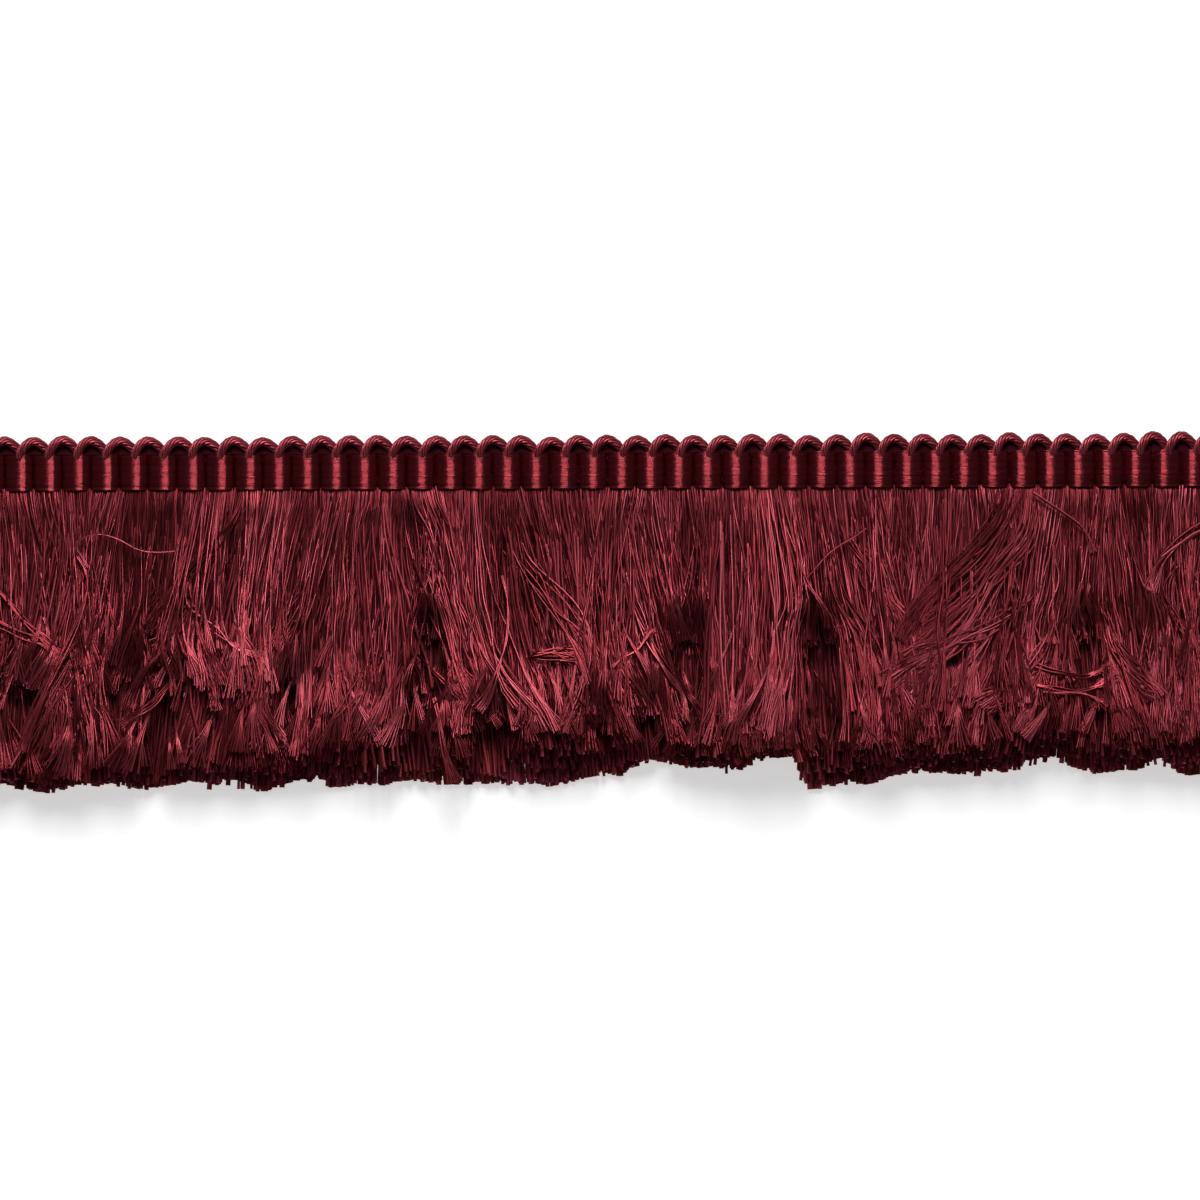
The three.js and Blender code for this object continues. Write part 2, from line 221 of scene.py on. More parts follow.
def smooth_path(points, count):
    """A smooth line of count points through points, evenly spaced along its length."""
    points = np.asarray(points, float)
    padded = np.vstack([2 * points[0] - points[1], points, 2 * points[-1] - points[-2]])
    fine = []
    steps = 12
    for index in range(len(points) - 1):
        p0, p1, p2, p3 = padded[index : index + 4]
        t = np.linspace(0, 1, steps, endpoint=False)[:, None]
        fine.append(
            0.5 * (2 * p1 + (p2 - p0) * t + (2 * p0 - 5 * p1 + 4 * p2 - p3) * t**2
                   + (3 * p1 - p0 - 3 * p2 + p3) * t**3)
        )
    line = np.vstack([*fine, points[-1:]])
    run = run_along(line)
    at = np.linspace(0, run[-1], count)
    return np.stack([np.interp(at, run, line[:, axis]) for axis in range(line.shape[1])], axis=1)


def ease(value):
    """Goes from 0 to 1 as the value does, with a soft start and end."""
    value = np.clip(value, 0, 1)
    return value * value * (3 - 2 * value)


# Shape of the brush


def parting_middle(parting):
    """Distance of a parting's middle below the heading."""
    return (parting["start"] + parting["end"]) / 2


def parting_open(parting, down):
    """How far open a parting is at a distance below the heading, from 0 to 1."""
    fade = 7  # above its start and below its end
    half = (parting["end"] - parting["start"]) / 2
    past = np.clip((np.abs(down - parting_middle(parting)) - half) / fade, 0, 1)
    return 0.5 + 0.5 * np.cos(np.pi * past)


def yarn_lean(root, down, share):
    """How far a yarn that starts at root has moved along the trim at a distance down."""
    bend = 1.4
    travel = np.clip(down / SKIRT, 0, None) ** bend
    return share * read_rows(LEANS, "x", "lean", root) * travel


def parting_root(parting):
    """Where the yarns that would pass over the middle of a parting come out of the heading."""
    return parting["x"] - yarn_lean(parting["x"], parting_middle(parting), 1)


def parting_push(root, down, share):
    """How far the yarns are pushed aside at the partings."""
    reach = 8  # along the trim, to both sides
    push = 0
    for parting in PARTINGS:
        side = np.where(root < parting_root(parting), -1, 1)
        near = np.exp(-np.abs(root - parting_root(parting)) / reach)
        push = push + side * near * parting["width"] / 2 * parting_open(parting, down)
    return share * push


def parting_sink(x, down):
    """How much lower the upper yarns lie than the brush at its fullest, near a parting."""
    reach = 2.8  # along the trim, to both sides
    sink = 0
    for parting in PARTINGS:
        place = parting_root(parting) + yarn_lean(parting_root(parting), down, 1)
        near = np.exp(-(((x - place) / reach) ** 2))
        sink = np.maximum(sink, parting["sink"] * near * parting_open(parting, down))
    return sink


def brush_height(x, down):
    """Height of the brush's face over the surface."""
    level = 12  # from the heading to here, the face goes over to its own fullness
    full = read_rows(FULLNESS, "x", "full", x)
    swell = read_rows(SWELL, "down", "height", down)
    return swell * (1 + (full - 1) * ease(down / level)) - parting_sink(x, down)


def lock_values(rng, sizes, root, depth):
    """How the broad locks lean, bow and rise, blended from each lock to the next."""
    levels = 9  # of locks, from the face to the back
    level = np.minimum((depth * levels).astype(int), levels - 1)
    pitch = sizes.lock_pitch / MM
    locks = int(LENGTH / pitch) + 3
    shift = rng.uniform(0, 1, levels)
    place = (root - LEFT_END) / pitch + shift[level]
    number = place.astype(int)
    mix = ease((place - number) * 3 - 1)
    spreads = {"lean": 5.5, "bow": 1.8, "rise": 1.1}
    drawn = {name: rng.normal(0, spread, (levels, locks)) for name, spread in spreads.items()}
    return {
        name: value[level, number] * (1 - mix) + value[level, number + 1] * mix
        for name, value in drawn.items()
    }


def tuft_values(rng, sizes, root, depth):
    """What the yarns of one tuft share: its middle and how it leans, bows, rises and is cut."""
    levels = 11  # of tufts, from the face to the back
    level = np.minimum((depth * levels).astype(int), levels - 1)
    pitch = sizes.tuft_pitch / MM
    tufts = int(LENGTH / pitch) + 3
    shift = rng.uniform(0, pitch, levels)
    number = ((root - LEFT_END + shift[level]) / pitch).astype(int)
    drawn = {
        "lean": rng.normal(0, 2.6, (levels, tufts)),
        "bow": rng.normal(0, 0.8, (levels, tufts)),
        "rise": rng.normal(0, 0.95, (levels, tufts)),
        "start": rng.normal(0, 0.3, (levels, tufts)),
        "cut": rng.normal(0, 1.0, (levels, tufts)),
        "grip": rng.uniform(0.1, 0.8, (levels, tufts)),
        "tint": rng.normal(0, 0.12, (levels, tufts)),
    }
    values = {name: value[level, number] for name, value in drawn.items()}
    values["middle"] = LEFT_END + (number + 0.5) * pitch - shift[level]
    values["side"] = (root - values["middle"]) / (pitch / 2)
    return values


def own_values(rng, sizes, depth):
    """What each yarn has of its own. The deeper ones stray less, and a few stray far more."""
    count = len(depth)
    loose = 1 - 0.98 * depth
    wild = np.where(rng.random(count) < 0.12, 2.2, 1.0)
    return {
        "loose": loose,
        "lean": rng.normal(0, 2.6, count) * wild * loose,
        "tip": rng.normal(0.2, 1.1, count) * loose,
        "curl": rng.normal(0, 1.7, count) * wild * loose**3,
        "wave": rng.normal(0, sizes.wave / MM, count) * wild * loose,
        "turns": rng.uniform(0.8, 2.2, count),
        "phase": rng.uniform(0, 2 * np.pi, count),
        "ripple": np.abs(rng.normal(0, 0.5, count)) * wild**0.5,
        "ripple_turns": rng.uniform(1.6, 4.2, count),
    }


def yarn_lengths(rng, root, depth, tuft):
    """Length of each yarn. The face is cut in two tiers, and the back is the longest."""
    count = len(root)
    edge_x = root + yarn_lean(root, SKIRT, 1 - STIFF_BACK * depth)
    top, upper, lower = (
        read_rows(edge, "x", "length", edge_x) for edge in (TOP_EDGE, UPPER_EDGE, LOWER_EDGE)
    )
    top_tier = 0.14  # share of the depth that the few yarns on top take up
    back = np.clip((depth - top_tier) / (1 - top_tier), 0, 1)
    uneven, ragged = 1 - 0.45 * np.sqrt(back), 1 - 0.85 * np.sqrt(back)
    length = upper + (lower - upper) * back**0.6 + 0.35 * back
    length = length + tuft["cut"] * uneven + rng.normal(0, 0.6, count) * ragged
    length = length - 0.6 * back * tuft["side"] ** 2
    stubby = rng.random(count) < 0.3  # these end up to 6 mm above the others of the top tier
    own_cut = rng.normal(0, 2.0, count) - 6 * stubby * rng.random(count)
    short = top + 2.2 * tuft["cut"] + own_cut
    spike = np.where(rng.random(count) < 0.03, 1.1, 0.0)  # a few stand past the cut edge
    length = np.minimum(length, lower + 0.5 + spike)
    return np.where(depth < top_tier, np.minimum(short, upper + 1), length)


def cut_at_hollows(rng, length, depth, course):
    """Ends the upper yarns at the open partings that they would cover."""
    upper = depth < 0.55
    for parting in PARTINGS:
        if parting["open"]:
            half = parting["width"] / 2 * rng.uniform(0.7, 1.1, len(length))
            place = course(np.array([[parting_middle(parting)]]))[:, 0]
            inside = np.abs(place - parting["x"]) < half
            rim = parting["start"] + rng.normal(0, 1.0, len(length))
            length = np.where(inside & upper, np.minimum(length, rim), length)
    return length


def each(values):
    """One value for each yarn, as a column that goes with the rows of the yarns' points."""
    return values[:, None]


def yarn_course(root, depth, lock, tuft, own, down):
    """Place of every yarn along the trim, at its distances down."""
    share = np.clip(down / SKIRT, 0, 1)
    place = each(root) + yarn_lean(each(root), down, 1 - STIFF_BACK * each(depth))
    aside = np.exp(-3 * each(depth)) * (1 - each(depth))
    place = place + parting_push(each(root), down, aside)
    place = place + each((tuft["lean"] + lock["lean"]) * own["loose"]) * share**1.4
    place = place + each((tuft["bow"] + lock["bow"]) * own["loose"]) * np.sin(np.pi * share)
    place = place + each(own["lean"]) * share**1.5
    grip = each(tuft["grip"] * own["loose"]) * ease(share * 1.5) - 0.3 * ease((share - 0.7) * 4)
    place = place - (each(root) - each(tuft["middle"])) * grip
    phase = each(own["phase"])
    swing = np.sin(2 * np.pi * each(own["turns"]) * share + phase) - np.sin(phase)
    return place + each(own["wave"]) * share**0.7 * swing


def yarn_height(depth, lock, tuft, own, x, down, t):
    """Height of every yarn over the surface. t goes from 0 at its root to 1 at its cut end."""
    share = np.clip(down / SKIRT, 0, 1)
    rise = each(tuft["rise"] + lock["rise"]) * ease(share * 2.5)
    start = each(tuft["start"]) * np.exp(-down.clip(0) / 3) * ease(down / 2)
    tip = each(own["tip"]) * ease((t - 0.68) * 3) ** 1.5
    face = brush_height(x, down) + rise + start + tip
    z = face * (1 - each(depth)) + FLAT_BACK
    ripples = np.sin(2 * np.pi * each(own["ripple_turns"]) * share + each(own["phase"]) + 1)
    return z + each(own["ripple"]) * ease(share * 5) * ripples


def brush_yarns(rng, sizes, count, shallow, deep, points, taper, stout):
    """Paths of cut yarns between two depths of the brush, 0 at its face and 1 at its back."""
    inset = 0.3  # of the first and the last yarn, from the cut ends of the trim
    places = rng.permutation(count) + rng.uniform(0, 1, count)
    root = LEFT_END + inset + (LENGTH - 2 * inset) * places / count
    depth = shallow + (deep - shallow) * (np.arange(count) + 0.5) / count
    lock = lock_values(rng, sizes, root, depth)
    tuft = tuft_values(rng, sizes, root, depth)
    own = own_values(rng, sizes, depth)
    # Painted shade and light: past a common dye level, deeper yarns are painted darker as the shade
    # between face yarns, the back yarns lying in shade at the lower edge are painted lighter again,
    # and raised locks are painted a little lighter
    dye_and_shade = 0.5 - 0.5 * ease(depth * 2) + 0.55 * ease((depth - 0.6) * 3)
    tint = dye_and_shade + tuft["tint"] + 0.09 * lock["rise"] + rng.normal(0, 0.25, count)

    def course(down):
        return yarn_course(root, depth, lock, tuft, own, down)

    length = cut_at_hollows(rng, yarn_lengths(rng, root, depth, tuft), depth, course)
    t = np.linspace(0, 1, points)[None, :]
    hidden = 0.5  # how far a yarn's root reaches up into the heading
    down = -hidden + (each(length) + hidden) * t
    x = course(down) + each(own["curl"]) * ease((t - 0.55) * 2.2) ** 1.5
    give = 2.5  # how far the last yarns can stand off the cut ends of the trim
    over = np.clip(np.abs(x) - RIGHT_END + 1, 0, None)
    x = np.sign(x) * (np.abs(x) - over + give * np.tanh(over / give))
    z = yarn_height(depth, lock, tuft, own, x, down, t)
    girth = stout * each(rng.uniform(0.75, 1.2, count)) * (1 - taper * ease((t - 0.75) * 4))
    z = np.maximum(z, FLAT_BACK + STRAY + girth * sizes.yarn_radius / MM)
    return np.stack([x, JOINT - down, z], axis=2), girth, np.clip(tint, 0, 1)


def brush_ends(rng, count, points):
    """Paths of the bold yarns whose cut ends lie open on the lower half of the face."""
    paths = []
    for index in range(count):
        x = LEFT_END + LENGTH * (index + rng.uniform(0.1, 0.9)) / count
        low = index % 5 < 3  # three in five end at the upper edge, the others at the top edge
        edge = UPPER_EDGE if low else TOP_EDGE
        past, scatter = (0.8, 0.8) if low else (0, 3)
        last = read_rows(edge, "x", "length", x) + rng.normal(past, scatter)
        run = rng.uniform(11, 18)
        t = np.linspace(0, 1, points)
        down = last - run * (1 - t)
        slope = read_rows(LEANS, "x", "lean", x) / 30 + rng.normal(0, 0.22)
        bend = rng.normal(0, 1.1)
        place = x - slope * run * (1 - t) + bend * np.sin(np.pi * t)
        place = np.clip(place, LEFT_END, RIGHT_END)
        height = brush_height(place, down) - 1.4 + 2.2 * ease(t * 1.6) + rng.normal(0, 0.15)
        paths.append(np.stack([place, JOINT - down, height], axis=1))
    girth = rng.uniform(0.9, 1.3, count)
    return np.array(paths), girth, np.clip(rng.normal(0.62, 0.2, count), 0, 1)


def open_ends(rng, sizes, lines, filaments, points, first=0.7, fullness=1.0):
    """Paths of the filaments that fan out of cut ends, from a share of each yarn's length."""
    paths, _, tint = lines
    count, stations = paths.shape[:2]
    at = np.linspace(first, 1, points) * (stations - 1)
    before = np.minimum(at.astype(int), stations - 2)
    mix = (at - before)[None, :, None]
    core = paths[:, before] * (1 - mix) + paths[:, before + 1] * mix
    ahead = unit(np.gradient(core, axis=1))
    across = np.stack([-ahead[:, :, 1], ahead[:, :, 0], 0 * ahead[:, :, 0]], axis=2)
    opening = np.linspace(0, 1, points) ** 1.8
    fan = np.linspace(-1, 1, filaments)[None, :] + rng.normal(0, 0.16, (count, filaments))
    full = fullness * np.where(rng.random(count) < 0.25, 1.6, 0.8)  # one in four opens wide
    fan = fan * (full * rng.uniform(0.6, 1.2, count) * sizes.end_fan / MM)[:, None]
    lift = rng.normal(0, 0.12, (count, filaments))
    spread = fan[:, :, None] * (0.12 + opening)
    ends = core[:, None] + across[:, None] * spread[:, :, :, None]
    ends[:, :, :, 1] -= rng.normal(0, 0.15, (count, filaments))[:, :, None] * opening
    ends[:, :, :, 2] += lift[:, :, None] * (0.5 + opening)
    lowest = FLAT_BACK + STRAY + sizes.yarn_radius / MM
    ends[:, :, :, 2] = np.maximum(ends[:, :, :, 2], lowest)
    girth = rng.uniform(0.55, 0.9, count * filaments)
    tint = np.repeat(tint, filaments) + rng.normal(0, 0.08, count * filaments)
    return ends.reshape(count * filaments, points, 3), girth, np.clip(tint, 0, 1)


def bunch_yarn(rng, bunch, guide, points):
    """Path and girth of one yarn of a bunch, beside the line that the bunch follows."""
    run = np.linalg.norm(np.diff(guide, axis=0), axis=1).sum()
    sway = min(run / 25, 1)  # a short one sways less
    many = bunch["yarns"] > 4
    rooted = bunch["places"][0][1] < 1  # it comes out of the heading
    first = 0 if rooted else rng.uniform(0, 0.3) * many
    last = 1 - rng.uniform(0, 0.2) * many
    t = np.linspace(0, 1, points)
    at = (first + (last - first) * t) * (len(guide) - 1)
    line = np.stack([np.interp(at, np.arange(len(guide)), guide[:, axis]) for axis in (0, 1)], axis=1)
    ahead = unit(np.gradient(line, axis=0))
    across = np.stack([-ahead[:, 1], ahead[:, 0]], axis=1)
    spread = bunch["near"] + (bunch["far"] - bunch["near"]) * t
    side, cross = rng.normal(0, 0.55, 2)
    wave = rng.normal(0, 0.5) * sway
    bend = wave * np.sin(2 * np.pi * t * rng.uniform(0.6, 1.8) + rng.uniform(0, 6))
    place = line + across * ((side + cross * (t - 0.5)) * spread + bend)[:, None]
    x, down = place[:, 0], place[:, 1]
    height = brush_height(x, down) + parting_sink(x, down) * 0.6
    lift = bunch["lift"] * (rng.uniform(-0.2, 1.4) if many else 1)
    sunk = 1 - ease(t * 4)
    z = height + lift + 0.3 - (lift + (0.3 if rooted else 1.4)) * sunk * many
    stout = 1 if many else 1.4
    girth = stout * rng.uniform(0.75, 1.15) * (1 - 0.3 * ease((t - 0.7) * 4))
    return np.stack([x, JOINT - down, z], axis=1), girth


def loose_bunches(rng, points):
    """Paths of the loose bunches, which lie on the brush and cross its yarns."""
    paths, girths, tints = [], [], []
    for bunch in BUNCHES:
        guide = smooth_path(bunch["places"], 4 * points)
        for _ in range(bunch["yarns"]):
            path, girth = bunch_yarn(rng, bunch, guide, points)
            paths.append(path)
            girths.append(girth)
            # a bunch's tint; for the darkest bunches it is partly painted shade
            tints.append(np.clip(rng.normal(bunch["tint"], 0.17), 0, 1))
    return np.array(paths), np.array(girths), np.array(tints)


# Shape of the heading


def rib_height(x, low, rise):
    """Height of the ribbed face: ribs with a broad crown and narrow grooves between them."""
    roundness = 3.0
    share = (np.asarray(x) - LEFT_END) / RIB_PITCH
    from_crown = 2 * np.abs(share - np.floor(share) - 0.5)
    return low + rise * np.sqrt(np.clip(1 - from_crown**roundness, 0, 1))


def rib_stations():
    """Places along the trim, closer together at the grooves, where the ribs are steep."""
    from_crown = np.array([-1, -0.93, -0.72, -0.36, 0, 0.36, 0.72, 0.93])
    places = LEFT_END + (np.arange(RIB_COUNT)[:, None] + 0.5 + from_crown / 2) * RIB_PITCH
    return np.append(places.ravel(), RIGHT_END)


def warp_threads(rng, sizes):
    """Paths of the satin threads that run along the heading, over its ribs."""
    count = sizes.warp_threads
    stations = rib_stations()
    low, rise = sizes.band_height / MM, sizes.rib_rise / MM
    spanned = 0.2  # share of a groove's depth that a taut thread doesn't reach
    paths = []
    for index in range(count):
        up = 0.15 + (sizes.band_width / MM - 0.3) * index / (count - 1)
        shift = rng.normal(0, 0.05)
        x = np.clip(stations + shift, LEFT_END, RIGHT_END)
        lift = rng.normal(0, 0.02) + rng.normal(0, 0.004, len(stations))
        edge = ease(min(up / 0.25, (sizes.band_width / MM - up) / 0.5))
        over = np.maximum(rib_height(stations, low, rise), low + spanned * rise)
        z = over - 0.35 * (1 - edge) + lift
        y = np.full(len(stations), JOINT + up) + rng.normal(0, 0.01, len(stations))
        paths.append(np.stack([x, y, z], axis=1))
    girth = rng.uniform(0.9, 1.2, count)
    tint = np.clip(rng.normal(0.28, 0.08, count), 0, 1)
    return np.array(paths), girth, tint


def loop_line(rng, crown, steps):
    """Middle line of one loop, from the crown of a rib to that of the next."""
    along, up, height = (np.array(column(LOOP_PLACES, name)) for name in ("along", "up", "height"))
    swing = rng.normal(0, [0.1, 0.1, 0.06])
    points = np.stack([crown + along * RIB_PITCH, JOINT + up, height], axis=1)
    middle = np.sin(np.pi * np.linspace(0, 1, len(points)))[:, None]
    return smooth_path(points + swing * middle, steps)


def loop_yarns(rng, sizes):
    """Paths of the strands of the satin yarn that stands up in one loop over each groove."""
    strands = 7
    shortest = 0.5  # a strand cut off at the ends of the trim isn't made if it is shorter
    paths, girths, tints = [], [], []
    for loop in range(-1, RIB_COUNT):
        line = loop_line(rng, LEFT_END + (loop + 0.5) * RIB_PITCH, steps=18)
        ahead = unit(np.gradient(line, axis=0))
        side = unit(np.cross(ahead, [0, 0, 1]))
        over = np.cross(side, ahead)
        turns = run_along(line) / sizes.twist_length * MM
        start = rng.uniform(0, 2 * np.pi)
        for strand in range(strands):
            turn = start + 2 * np.pi * (turns + strand / strands)
            path = line + sizes.strand_offset / MM * (
                side * np.cos(turn)[:, None] + over * np.sin(turn)[:, None]
            )
            path[:, 0] = np.clip(path[:, 0], LEFT_END, RIGHT_END)
            if np.ptp(path[:, 0]) > shortest:
                paths.append(path)
                girths.append(rng.uniform(0.9, 1.1))
                tints.append(np.clip(rng.normal(0.84, 0.12), 0, 1))
    return np.array(paths), np.array(girths), np.array(tints)


def band_mesh(sizes):
    """The ribbed band as one closed sheet, with the selvedge under the fringe's roots."""
    stations = rib_stations()
    low, rise = sizes.band_height / MM, sizes.rib_rise / MM
    width, selvedge = sizes.band_width / MM, sizes.selvedge / MM
    top = rib_height(stations, low - 0.15, rise)
    share = (stations - LEFT_END) / RIB_PITCH
    groove = np.sin(np.pi * np.abs(share - np.floor(share) - 0.5))
    # The band reaches up behind each loop, and its dark ground there is painted shade for the hollow
    # under the arch
    upper = width + sizes.arch_fill / MM * groove
    section = [
        (-selvedge, 0), (upper, 0), (upper, 0.9), (width, 1.2), (width - 0.25, top - 0.25),
        (width - 0.7, top), (0.6, top), (0.15, top - 0.3), (-0.1, 1.1), (-selvedge, 0.9),
    ]
    rings = np.stack(
        [
            np.stack(np.broadcast_arrays(stations, JOINT + up, height), axis=1)
            for up, height in section
        ],
        axis=1,
    )
    count, sides = rings.shape[:2]
    corner = np.arange(count * sides).reshape(count, sides)
    ahead = np.roll(corner, -1, axis=1)
    quads = np.stack([corner[:-1], ahead[:-1], ahead[1:], corner[1:]], axis=-1).reshape(-1, 4)
    faces = [list(quad) for quad in quads.tolist()]
    faces.append(corner[0][::-1].tolist())
    faces.append(corner[-1].tolist())
    mesh = bpy.data.meshes.new("heading_band")
    mesh.from_pydata((rings.reshape(-1, 3) * MM).tolist(), [], faces)
    mesh.validate()
    mesh.update()
    return mesh


# Geometry Nodes that lay a yarn along every line of a mesh


def add_input(tree, name, kind, default=None):
    socket = tree.interface.new_socket(name=name, in_out="INPUT", socket_type=kind)
    if default is not None:
        socket.default_value = default


def set_inputs(tree, node, inputs):
    """Gives each input its value, or a link where what is given is another node's output."""
    for name, value in inputs.items():
        if isinstance(value, bpy.types.NodeSocket):
            tree.links.new(value, node.inputs[name])
        else:
            node.inputs[name].default_value = value


def add_node(tree, kind, inputs=(), **settings):
    """Adds a node and returns its outputs."""
    node = tree.nodes.new(kind)
    for name, value in settings.items():
        setattr(node, name, value)
    set_inputs(tree, node, dict(inputs))
    return node.outputs


def yarn_tree():
    """Lines become round yarns, with a little unevenness that the seed fixes."""
    tree = bpy.data.node_groups.new("lay_yarn_on_lines", "GeometryNodeTree")
    add_input(tree, "Geometry", "NodeSocketGeometry")
    add_input(tree, "Yarn Radius", "NodeSocketFloat", 0.0002)
    add_input(tree, "Sides", "NodeSocketInt", 3)
    add_input(tree, "Unevenness", "NodeSocketFloat", 0.0001)
    add_input(tree, "Wave Scale", "NodeSocketFloat", 200.0)
    add_input(tree, "Seed", "NodeSocketFloat", 0.0)
    add_input(tree, "Material", "NodeSocketMaterial")
    tree.interface.new_socket(name="Geometry", in_out="OUTPUT", socket_type="NodeSocketGeometry")
    given = add_node(tree, "NodeGroupInput")
    lines = add_node(tree, "GeometryNodeMeshToCurve", {"Mesh": given["Geometry"]})

    # Each yarn's tint moves it to a place of its own in the noise
    apart = 60.0
    tint = add_node(tree, "GeometryNodeInputNamedAttribute", {"Name": "tint"}, data_type="FLOAT")
    own = {0: tint["Attribute"], 1: apart, 2: given["Seed"]}
    own_place = add_node(tree, "ShaderNodeMath", own, operation="MULTIPLY_ADD")
    position = add_node(tree, "GeometryNodeInputPosition")
    where = {
        "Vector": position["Position"], "W": own_place["Value"],
        "Scale": given["Wave Scale"], "Detail": 1.0,
    }
    noise = add_node(tree, "ShaderNodeTexNoise", where, noise_dimensions="4D")
    both_ways = {0: noise["Color"], 1: (0.5, 0.5, 0.5)}
    centred = add_node(tree, "ShaderNodeVectorMath", both_ways, operation="SUBTRACT")
    amount = {0: centred["Vector"], "Scale": given["Unevenness"]}
    offset = add_node(tree, "ShaderNodeVectorMath", amount, operation="SCALE")
    moved = {"Geometry": lines["Curve"], "Offset": offset["Vector"]}
    uneven = add_node(tree, "GeometryNodeSetPosition", moved)

    girth = add_node(tree, "GeometryNodeInputNamedAttribute", {"Name": "girth"}, data_type="FLOAT")
    stout = {0: girth["Attribute"], 1: given["Yarn Radius"]}
    radius = add_node(tree, "ShaderNodeMath", stout, operation="MULTIPLY")
    round_section = {"Radius": 1.0, "Resolution": given["Sides"]}
    ring = add_node(tree, "GeometryNodeCurvePrimitiveCircle", round_section)
    laid = {
        "Curve": uneven["Geometry"], "Profile Curve": ring["Curve"],
        "Scale": radius["Value"], "Fill Caps": True,
    }
    yarn = add_node(tree, "GeometryNodeCurveToMesh", laid)
    whole = add_node(tree, "GeometryNodeRealizeInstances", {"Geometry": yarn["Mesh"]})
    dyed = {"Geometry": whole["Geometry"], "Material": given["Material"]}
    finished = add_node(tree, "GeometryNodeSetMaterial", dyed)
    add_node(tree, "NodeGroupOutput", {"Geometry": finished["Geometry"]})
    return tree


def line_object(name, paths, girth, tint):
    """A mesh of bare lines, each with its girth and its tint."""
    count, points = paths.shape[:2]
    corner = np.arange(count * points).reshape(count, points)
    edges = np.stack([corner[:, :-1], corner[:, 1:]], axis=-1).reshape(-1, 2)
    mesh = bpy.data.meshes.new(name)
    mesh.vertices.add(count * points)
    mesh.vertices.foreach_set("co", (paths * MM).astype(np.float32).ravel())
    mesh.edges.add(len(edges))
    mesh.edges.foreach_set("vertices", edges.astype(np.int32).ravel())
    for label, values in (("girth", girth), ("tint", tint)):
        layer = mesh.attributes.new(label, "FLOAT", "POINT")
        if values.ndim == 1:
            values = np.repeat(values[:, None], points, axis=1)
        layer.data.foreach_set("value", values.astype(np.float32).ravel())
    mesh.update()
    obj = bpy.data.objects.new(name, mesh)
    bpy.context.scene.collection.objects.link(obj)
    return obj


def lay_yarns(name, lines, sizes, material):
    """Turns lines into a plain mesh of yarns. sizes holds the inputs of the node tree."""
    paths, girth, tint = lines
    obj = line_object(name, paths, girth, tint)
    tree = bpy.data.node_groups.get("lay_yarn_on_lines") or yarn_tree()
    ids = {
        item.name: item.identifier
        for item in tree.interface.items_tree
        if item.item_type == "SOCKET" and item.in_out == "INPUT"
    }
    modifier = obj.modifiers.new("yarns", "NODES")
    modifier.node_group = tree
    for label, value in {**sizes, "Material": material}.items():
        modifier[ids[label]] = value
    depsgraph = bpy.context.evaluated_depsgraph_get()
    solid = bpy.data.meshes.new_from_object(
        obj.evaluated_get(depsgraph), preserve_all_data_layers=True, depsgraph=depsgraph
    )
    lines_mesh = obj.data
    obj.modifiers.remove(modifier)
    obj.data = solid
    bpy.data.meshes.remove(lines_mesh)
    solid.name = name
    solid.shade_smooth()
    return obj


def dress(obj, node):
    """Rides a finished piece on the part, in place of a node."""
    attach(obj, BODY)
    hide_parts(node)


# Materials


def satin(name, dyes, metallic, roughness, streak_scale, streak_depth):
    """Dyed satin yarn, with a coloured gloss and fine streaks along its filaments."""
    material = bpy.data.materials.get(name)
    if material is not None:
        return material
    material = bpy.data.materials.new(name)
    material.use_nodes = True
    tree = material.node_tree
    deep, middle, bright = ((*dye_and_shade, 1) for dye_and_shade in dyes)

    where = add_node(tree, "ShaderNodeTexCoord")
    stretched = {"Vector": where["Object"], "Scale": streak_scale}
    stretch = add_node(tree, "ShaderNodeMapping", stretched)
    fine = {"Vector": stretch["Vector"], "Scale": 1.0, "Detail": 3.0}
    streaks = add_node(tree, "ShaderNodeTexNoise", fine)

    # The streaks shift each yarn's own tint to both sides by up to half of their share
    share = 0.5
    tint = add_node(tree, "ShaderNodeAttribute", attribute_name="tint")
    centred = {0: tint["Fac"], 1: share / 2}
    lowered = add_node(tree, "ShaderNodeMath", centred, operation="SUBTRACT")
    streaked = {0: streaks["Fac"], 1: share, 2: lowered["Value"]}
    blend = add_node(tree, "ShaderNodeMath", streaked, operation="MULTIPLY_ADD")
    ramp = tree.nodes.new("ShaderNodeValToRGB")
    ramp.color_ramp.elements[0].color = deep
    ramp.color_ramp.elements[1].color = bright
    ramp.color_ramp.elements.new(0.5).color = middle
    set_inputs(tree, ramp, {"Fac": blend["Value"]})

    relief = {"Strength": 0.5, "Distance": streak_depth, "Height": streaks["Fac"]}
    bump = add_node(tree, "ShaderNodeBump", relief)
    set_inputs(tree, tree.nodes["Principled BSDF"], {
        "Base Color": ramp.outputs["Color"], "Normal": bump["Normal"],
        "Metallic": metallic, "Roughness": roughness, "Specular Tint": bright,
        "Sheen Weight": 0.08, "Sheen Roughness": 0.4, "Sheen Tint": bright,
    })
    return material


def yarn_dyes(colours):
    return colours.yarn_deep, colours.yarn_middle, colours.yarn_bright


def yarn_material(colours):
    return satin(
        "fringe_satin", yarn_dyes(colours), metallic=0.85, roughness=0.3,
        streak_scale=(5000, 420, 5000), streak_depth=0.00003,
    )


def inner_material(colours):
    return satin(
        "inner_satin", yarn_dyes(colours), metallic=0.45, roughness=0.42,
        streak_scale=(5000, 420, 5000), streak_depth=0.00003,
    )


def thread_material(colours):
    return satin(
        "rib_satin", yarn_dyes(colours), metallic=0.9, roughness=0.17,
        streak_scale=(300, 8000, 300), streak_depth=0.00001,
    )


